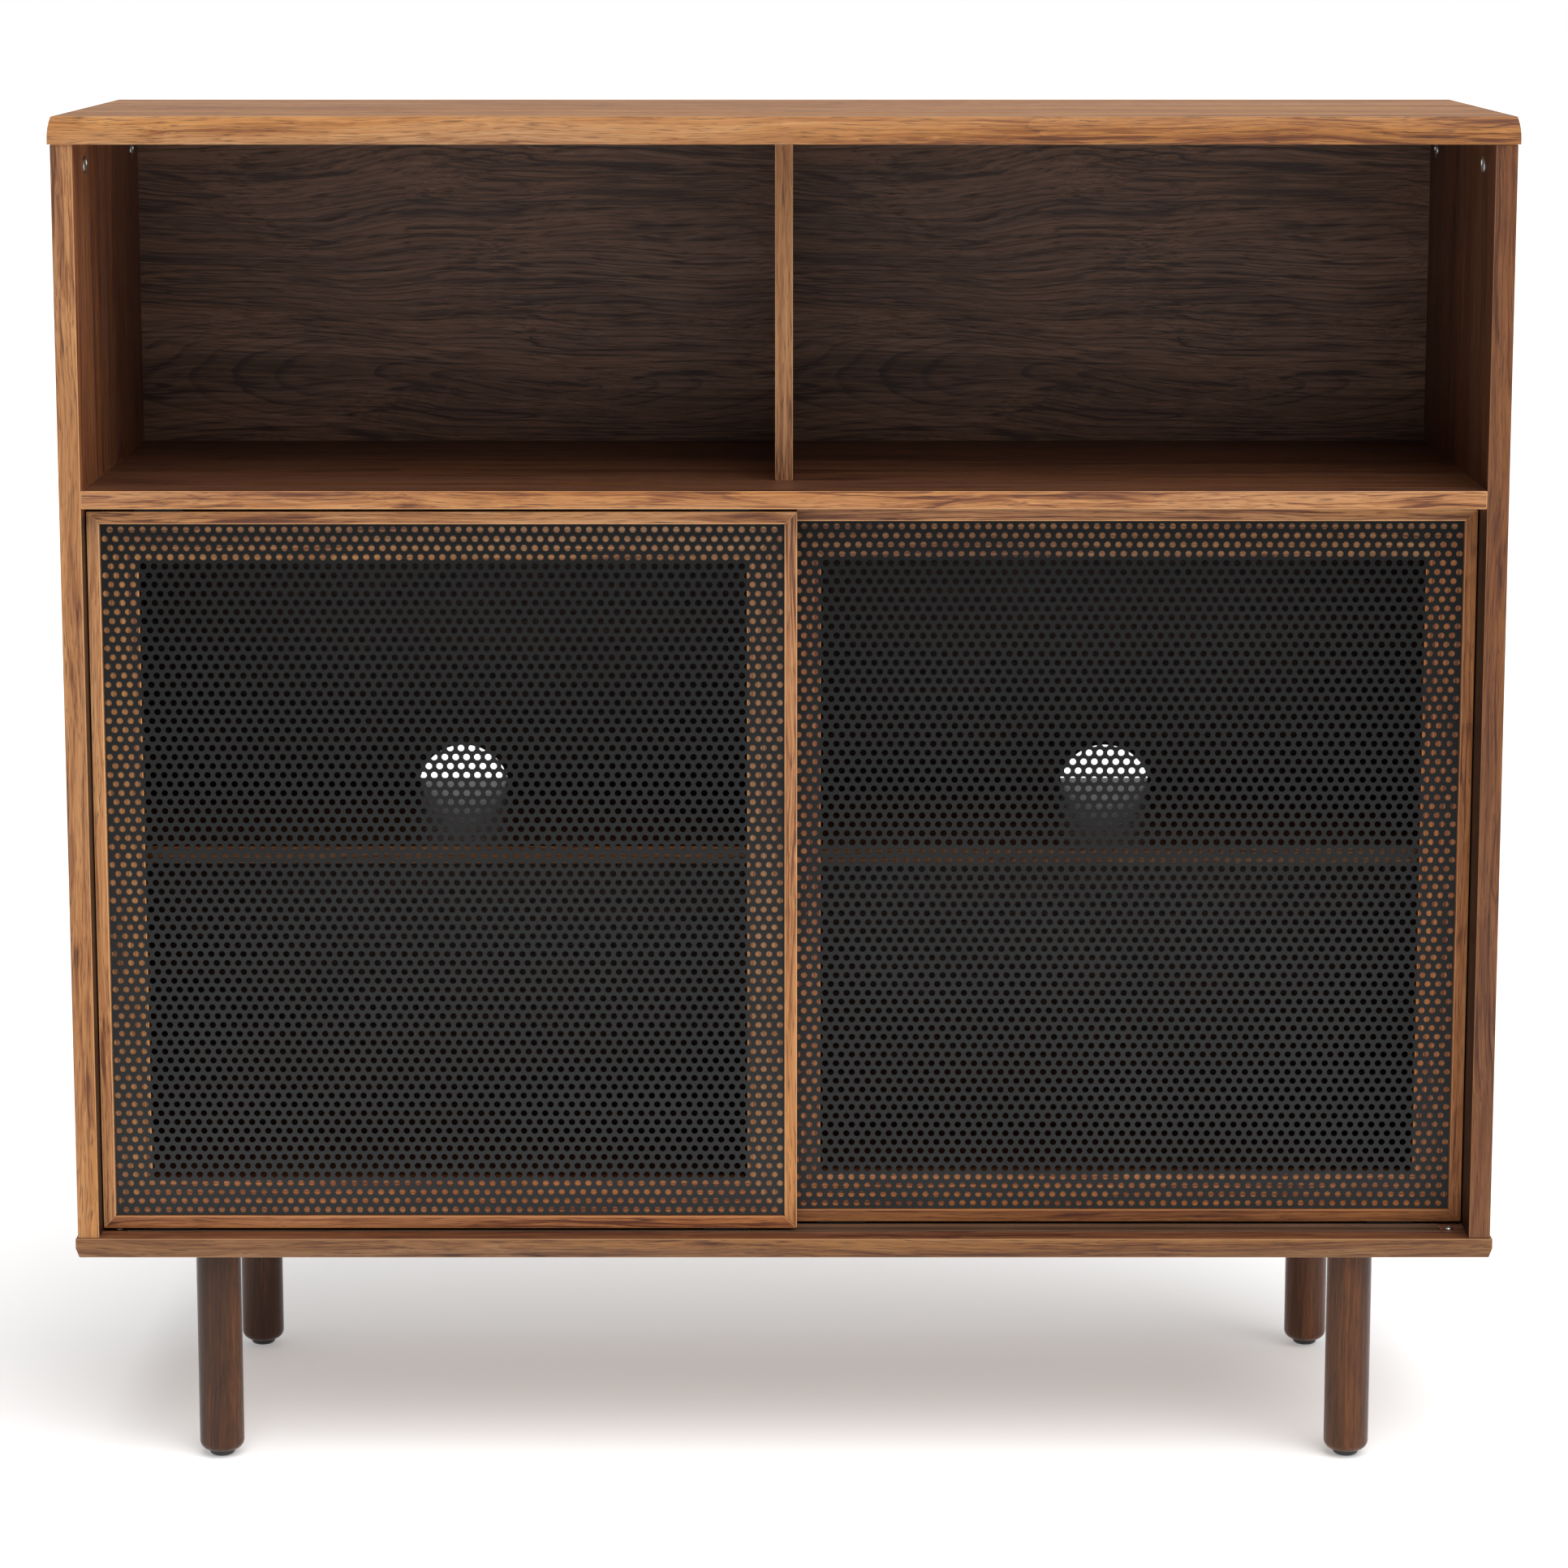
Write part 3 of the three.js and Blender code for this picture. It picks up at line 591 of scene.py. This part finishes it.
def finish_boards():
    def outer(tone):
        return toned(WALNUT_STOPS, tone)

    # painted shade: the darkened walnut of the inward faces
    def inner(tone):
        return toned(INNER_SHADE_STOPS, tone)

    def shaded(tone):
        return toned(WALNUT_STOPS, tone, PAINTED_SHADE_HUE)

    def deep(tone):
        return toned(WALNUT_STOPS, tone, DARK_BOARD_AND_SHADE_HUE)

    # grain axes, first finish, the log's heart, second finish; shaded() and inner() give painted shade
    # on the inward faces
    looks = {
        "top_panel": ("xyz", outer(0.92), (0.3, 0.10, 1.00), ("z", 0, outer(1.0))),
        "bottom_panel": ("xyz", outer(0.58), (-0.5, 0.05, 0.05), ("z", 1, shaded(0.45))),
        "middle_shelf": ("xyz", outer(1.12), (0.7, 0.12, 0.70), ("z", 0, shaded(0.27))),
        "upper_divider": ("zyx", outer(0.80), (0.6, 0.05, -0.16), ("x", 0, inner(1.0))),
        "lower_partition": ("zyx", inner(0.4), (0.2, 0.05, -0.09), None),
        "side_panel_left": ("zyx", outer(0.95), (0.9, 0.04, -0.72), ("x", 1, shaded(0.78))),
        "side_panel_right": ("zyx", deep(0.42), (0.2, 0.08, 0.70), ("x", -1, shaded(0.34))),
        "inner_shelf_left": ("xyz", outer(0.5), (-0.2, 0.0, 0.4), ("z", 0, shaded(0.25))),
        "inner_shelf_right": ("xyz", outer(0.5), (0.1, 0.0, 0.4), ("z", 0, shaded(0.25))),
    }
    contrasts = {"top_panel": 0.8, "middle_shelf": 1.3, "upper_divider": 1.7}
    # painted shade: how dark the second stops grow towards the rear
    painted_rear_shades = {
        "bottom_panel": 0.2,
        "middle_shelf": 0.6,
        "side_panel_left": 0.42,
        "side_panel_right": 0.6,
        "inner_shelf_left": 0.4,
        "inner_shelf_right": 0.4,
    }
    for step, (name, (axes, stops, heart, second_face)) in enumerate(looks.items()):
        satin = 0.24 if name.startswith("inner_shelf") else 0.46
        contrast = contrasts.get(name, 1.0)
        material = wood(
            f"walnut_{name}",
            axes,
            stops,
            heart,
            second_face,
            seed=2.0 * step,
            contrast=contrast,
            satin=satin,
            # painted shade: the sides' inward faces darker below the shelf, and the second stops
            # darker towards the rear
            second_painted_shade=0.15 if name.startswith("side") else 1.0,
            second_painted_rear_shade=painted_rear_shades.get(name, 1.0),
        )
        set_material(NODES[name], material)
        rounded(NODES[name], BOARD_EDGE_ROUND)
    for side, heart_x in (("left", -0.27), ("right", 0.315)):
        name = f"back_panel_{side}"
        set_material(NODES[name], back_board(f"walnut_{name}", (heart_x, 0.895, 0.193)))
        rounded(NODES[name], BOARD_EDGE_ROUND)


def finish_door_frames():
    # Tone of each member, partly its own and partly painted light and shade: the upper rails are
    # lightened against the shade under the shelf, and the rear door's darker members carry painted
    # shade.
    member_tones_and_painted_light = {
        "front_door": {"stile_left": 1.25, "stile_right": 1.12, "rail_lower": 0.84, "rail_upper": 1.4},
        "rear_door": {"stile_left": 0.8, "stile_right": 0.82, "rail_lower": 0.6, "rail_upper": 1.3},
    }
    members = [(door, member, tone) for door, row in member_tones_and_painted_light.items() for member, tone in row.items()]
    for step, (door, member, tone) in enumerate(members, 1):
        hue = DARK_BOARD_AND_SHADE_HUE if tone < 1.0 else PLAIN_HUE
        material = wood(
            f"walnut_{door}_{member}",
            "zxy" if member.startswith("stile") else "xzy",
            toned(WALNUT_STOPS, tone, hue),
            (0.17 * step, 0.3 + 0.05 * step, -0.35),
            seed=30.0 + step,
            contrast=1.35,
            rabbet_y=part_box(f"{door}_perforated_sheet")[1].y,
            rabbet_shade=RABBET_SHADE_TONE / tone,
        )
        node = NODES[f"{door}_{member}"]
        set_material(node, material)
        rounded(node, BOARD_EDGE_ROUND)


def finish_fittings():
    track = moulded_plastic("brown_track_plastic", (0.105, 0.054, 0.029), 0.38)
    guide = moulded_plastic("black_guide_plastic", (0.006, 0.006, 0.0062), 0.6, 0.2)
    zinc = plated_zinc("plated_zinc_fittings")
    for name, node in NODES.items():
        if "_track_" in name:
            set_material(node, track)
            rounded(node, TRACK_EDGE_ROUND)
        elif "_guide_" in name:
            set_material(node, guide)
            welded(node)
        elif name.startswith(("shelf_pin", "leg_bolt")):
            set_material(node, zinc)
            welded(node)
    add_cam_locks(zinc)
    add_stop_screws(zinc)


# ------------------------------------------------------------------ perforated sheets


def hole_rows(low, high):
    """Hole centres as rows of (x, z), staggered and centred in the sheet."""
    centre_x = (low.x + high.x) / 2
    centre_z = (low.z + high.z) / 2
    rows = []
    for row in range(HOLE_ROWS):
        count = HOLE_COLUMNS - (row + 1) % 2
        z = centre_z + (row - (HOLE_ROWS - 1) / 2) * HOLE_PITCH_Z
        start = centre_x - (count - 1) / 2 * HOLE_PITCH_X
        rows.append([(start + column * HOLE_PITCH_X, z) for column in range(count)])
    return rows


def corner(hole, side, lift, outer):
    """One corner of a hole's octagon. side and lift are -1 or 1. The outer corners are the ones on
    its left and right edges, and the others are on its upper and lower edges."""
    near, far = HOLE_RADIUS * OCTAGON_NEAR, HOLE_RADIUS * OCTAGON_FAR
    across, up = (near, far) if outer else (far, near)
    return (hole[0] + side * across, hole[1] + lift * up)


def row_cells(row, left, right):
    """Cells beside the holes of one row, level with the holes' upright edges."""
    rise = HOLE_RADIUS * OCTAGON_FAR
    z = row[0][1]
    edges = [(left, left)]
    edges += [(corner(hole, -1, 1, True)[0], corner(hole, 1, 1, True)[0]) for hole in row]
    edges.append((right, right))
    cells = []
    for (_, start), (end, _) in zip(edges, edges[1:]):
        cells.append([(start, z - rise), (end, z - rise), (end, z + rise), (start, z + rise)])
    return cells


def strip_cells(lower, upper, left, right):
    """Cells between two neighbouring rows of holes."""
    rise = HOLE_RADIUS * OCTAGON_FAR
    marked = [(hole, 1) for hole in lower] + [(hole, -1) for hole in upper]
    marked.sort(key=lambda item: item[0][0])
    cells = []
    for (a, lift_a), (b, lift_b) in zip(marked, marked[1:]):
        cells.append(
            [
                corner(a, 1, lift_a, True),
                corner(b, -1, lift_b, False),
                corner(b, -1, lift_b, True),
                corner(a, 1, lift_a, False),
            ]
        )
    for (a, lift_a), (b, lift_b), (c, lift_c) in zip(marked, marked[1:], marked[2:]):
        cells.append(
            [
                corner(a, 1, lift_a, True),
                corner(c, -1, lift_c, True),
                corner(b, 1, lift_b, False),
                corner(b, -1, lift_b, False),
            ]
        )
    for side, edge, first, second in (
        (-1, left, marked[0], marked[1]),
        (1, right, marked[-1], marked[-2]),
    ):
        (a, lift_a), (b, lift_b) = first, second
        cells.append(
            [
                (edge, a[1] + lift_a * rise),
                corner(a, side, lift_a, True),
                corner(a, side, lift_a, False),
                corner(a, -side, lift_a, False),
                corner(b, side, lift_b, True),
                (edge, b[1] + lift_b * rise),
            ]
        )
    return cells


def margin_cells(row, lift, edge_z, left, right):
    """Cells between the last row of holes and the sheet's lower or upper edge."""
    rise = HOLE_RADIUS * OCTAGON_FAR
    z = row[0][1]
    cells = []
    for hole in row:
        inner_left, inner_right = corner(hole, -1, lift, False), corner(hole, 1, lift, False)
        cells.append([inner_left, inner_right, (inner_right[0], edge_z), (inner_left[0], edge_z)])
    for a, b in zip(row, row[1:]):
        start, end = corner(a, 1, lift, False), corner(b, -1, lift, False)
        cells.append(
            [
                corner(a, 1, lift, True),
                corner(b, -1, lift, True),
                end,
                (end[0], edge_z),
                (start[0], edge_z),
                start,
            ]
        )
    for side, edge, hole in ((-1, left, row[0]), (1, right, row[-1])):
        inner = corner(hole, side, lift, False)
        cells.append(
            [
                (edge, z + lift * rise),
                corner(hole, side, lift, True),
                inner,
                (inner[0], edge_z),
                (edge, edge_z),
            ]
        )
    return cells


def turned_anticlockwise(cell):
    area = sum(a[0] * b[1] - b[0] * a[1] for a, b in zip(cell, cell[1:] + cell[:1]))
    return cell if area > 0 else cell[::-1]


def plate_mesh(cells, front_y, rear_y):
    """A closed plate: the cells in front and behind, and a wall along every open edge."""
    index = {}
    outline = []
    for cell in cells:
        loop = []
        for x, z in turned_anticlockwise(cell):
            key = (round(x * 1e7), round(z * 1e7))
            if key not in index:
                index[key] = (len(index), x, z)
            loop.append(index[key][0])
        outline.append(loop)
    points = [(x, z) for _, x, z in index.values()]
    count = len(points)
    vertices = [(x, front_y, z) for x, z in points] + [(x, rear_y, z) for x, z in points]
    faces = [tuple(loop) for loop in outline]
    faces += [tuple(corner_index + count for corner_index in reversed(loop)) for loop in outline]
    edges = {(a, b) for loop in outline for a, b in zip(loop, loop[1:] + loop[:1])}
    faces += [(b, a, a + count, b + count) for a, b in edges if (b, a) not in edges]
    return vertices, faces


def add_perforated_sheets():
    coat = powder_coat("charcoal_powder_coat", (0.0148, 0.0150, 0.0155))
    for door in ("front_door", "rear_door"):
        node = f"{door}_perforated_sheet"
        low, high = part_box(node)
        rows = hole_rows(low, high)
        cells = margin_cells(rows[0], -1, low.z, low.x, high.x)
        cells += margin_cells(rows[-1], 1, high.z, low.x, high.x)
        for row in rows:
            cells += row_cells(row, low.x, high.x)
        for lower, upper in zip(rows, rows[1:]):
            cells += strip_cells(lower, upper, low.x, high.x)
        vertices, faces = plate_mesh(cells, low.y, high.y)
        add_piece(f"{door}_holed_sheet", vertices, faces, coat, door, [node])


# ------------------------------------------------------------------ legs


def add_leg(place, seed, step):
    """A round leg whose foot is rounded."""
    low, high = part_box(f"leg_{place}")
    radius = (high.x - low.x) / 2
    edge = LEG_END_ROUND
    centre = ((low.x + high.x) / 2, (low.y + high.y) / 2, 0.0)
    profile = [(0.0, low.z)]
    profile += quarter(radius - edge, low.z + edge, edge, edge, -90, 0)
    profile += [(radius, high.z), (0.0, high.z)]
    vertices, faces = turned_mesh(profile)
    vertices = [tuple(a + b for a, b in zip(vertex, centre)) for vertex in vertices]
    leg_wood = wood(
        f"leg_wood_{place}",
        "zxy",
        toned(LEG_STOPS, 1.15 if place.endswith("right") else 0.95),
        (centre[0] - 0.2 * step, centre[1] - 0.03, centre[0] + 0.01),
        seed=seed,
        swing=0.012,
        contrast=0.4,
        satin=0.30,
        gloss=0.22,
        painted_arris_highlight=0.0,
    )
    name = f"turned_leg_{place}"
    smooth = math.radians(40)
    add_piece(name, vertices, faces, leg_wood, "root", [f"leg_{place}"], smooth)


def add_legs():
    black = moulded_plastic("black_glide_plastic", (0.018, 0.018, 0.019), 0.4)
    places = [f"{depth}_{side}" for depth in ("front", "rear") for side in ("left", "right")]
    for step, place in enumerate(places, 1):
        add_leg(place, 50.0 + step, step)
        set_material(NODES[f"leg_glide_{place}"], black)
        welded(NODES[f"leg_glide_{place}"])


# ------------------------------------------------------------------ small metal parts


def add_turned_part(name, profile, place, turn, material, node):
    """A turned piece standing at a place, its axis turned from Z, in place of a CAD node."""
    vertices, faces = turned_mesh(profile)
    move = Matrix.Translation(place) @ turn
    vertices = [tuple(move @ Vector(vertex)) for vertex in vertices]
    return add_piece(name, vertices, faces, material, "root", [node], math.radians(35))


def add_cam_locks(zinc):
    """Round locks with a raised rim, a dished face and a driver's cross."""
    for side, sense in (("left", 1), ("right", -1)):
        for depth in ("front", "rear"):
            node = f"cam_lock_{side}_{depth}"
            low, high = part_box(node)
            radius = (high.z - low.z) / 2
            length = high.x - low.x
            face = length - LOCK_RIM_HEIGHT
            cross = cross_outline(0.62 * radius)
            profile = [(0.0, 0.0), (0.93 * radius, 0.0), (0.93 * radius, length - 0.0012)]
            profile += [(radius, length - 0.0010), (radius, length - 0.0005)]
            profile += quarter(radius - 0.0006, length - 0.0005, 0.0006, 0.0005, 15, 90, 4)
            profile += [(0.83 * radius, length), (0.79 * radius, face), (cross, face)]
            profile += [(cross, length - LOCK_CROSS_DEPTH), (0.0, length - 0.0052)]
            outer_x = low.x if side == "left" else high.x
            place = (outer_x, (low.y + high.y) / 2, (low.z + high.z) / 2)
            turn = Matrix.Rotation(sense * math.pi / 2, 4, "Y")
            add_turned_part(f"{node}_cast", profile, place, turn, zinc, node)


def add_stop_screws(zinc):
    """Pan-head screws with a driver's cross, one at each end of the front track."""
    for side in ("left", "right"):
        node = f"track_stop_screw_{side}"
        low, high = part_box(node)
        radius = (high.x - low.x) / 2
        base = high.z - SCREW_HEAD - low.z
        cross = cross_outline(0.50 * radius)
        profile = [(0.0, 0.0)]
        if base > 0.0005:
            profile += [(0.42 * radius, 0.0008), (0.42 * radius, base)]
        profile += [(0.96 * radius, base), (radius, base + 0.0003)]
        shoulder = base + SCREW_SHOULDER
        dome = SCREW_HEAD - SCREW_SHOULDER
        profile += quarter(0.0, shoulder, radius, dome, 0, SCREW_DOME_END, 8)
        top = shoulder + dome * math.sin(math.radians(SCREW_DOME_END))
        profile += [(cross, top + 0.0002), (cross, shoulder), (0.0, base + 0.0003)]
        place = ((low.x + high.x) / 2, (low.y + high.y) / 2, low.z)
        add_turned_part(f"{node}_head", profile, place, Matrix.Identity(4), zinc, node)


# ------------------------------------------------------------------ stage


def add_floor():
    vertices, faces = turned_mesh([(0.0, 0.0), (FLOOR_RADIUS, 0.0)], FLOOR_SEGMENTS)
    mesh = bpy.data.meshes.new("floor")
    mesh.from_pydata(vertices, [], faces)
    floor = bpy.data.objects.new("floor", mesh)
    bpy.context.scene.collection.objects.link(floor)
    material, _, shader = new_material("pale_floor")
    shader.inputs["Base Color"].default_value = FLOOR_COLOUR
    shader.inputs["Roughness"].default_value = 0.7
    shader.inputs["Specular IOR Level"].default_value = 0.2
    shader.inputs["Emission Color"].default_value = FLOOR_COLOUR
    shader.inputs["Emission Strength"].default_value = FLOOR_GLOW
    mesh.materials.append(material)
    floor.location.z = -FLOOR_DROP


def add_light():
    sun = bpy.data.lights.new("key", "SUN")
    sun.energy = KEY_STRENGTH
    sun.angle = KEY_ANGLE
    key = bpy.data.objects.new("key", sun)
    key.rotation_mode = "QUATERNION"
    key.rotation_quaternion = KEY_FROM.to_track_quat("Z", "Y")
    bpy.context.scene.collection.objects.link(key)

    world = bpy.data.worlds.new("studio")
    world.use_nodes = True
    bpy.context.scene.world = world
    n = Nodes(world.node_tree)
    ambient = world.node_tree.nodes["Background"]
    ambient.inputs["Color"].default_value = WHITE
    ambient.inputs["Strength"].default_value = AMBIENT_STRENGTH
    backdrop = n.add("ShaderNodeBackground")
    backdrop.inputs["Color"].default_value = WHITE
    backdrop.inputs["Strength"].default_value = BACKDROP_STRENGTH
    mix = n.add("ShaderNodeMixShader")
    n.link(n.add("ShaderNodeLightPath").outputs["Is Camera Ray"], mix.inputs[0])
    n.link(ambient.outputs[0], mix.inputs[1])
    n.link(backdrop.outputs[0], mix.inputs[2])
    n.link(mix.outputs[0], world.node_tree.nodes["World Output"].inputs["Surface"])


def add_camera():
    data = bpy.data.cameras.new("camera")
    data.lens = CAMERA_LENS
    data.sensor_width = CAMERA_SENSOR
    data.shift_y = CAMERA_SHIFT_Y
    data.clip_start, data.clip_end = CAMERA_CLIP
    camera = bpy.data.objects.new("camera", data)
    bpy.context.scene.collection.objects.link(camera)
    place = Matrix.Translation((0.0, CAD_LOW.y - CAMERA_DISTANCE, CAD_HIGH.z + CAMERA_ABOVE_TOP))
    camera.matrix_world = place @ Matrix.Rotation(math.pi / 2 - CAMERA_TILT, 4, "X")
    bpy.context.scene.camera = camera


# ------------------------------------------------------------------ the scene

bpy.context.scene.view_settings.view_transform = "Standard"
add_camera()
add_light()
add_floor()
finish_boards()
finish_door_frames()
finish_fittings()
add_perforated_sheets()
add_legs()
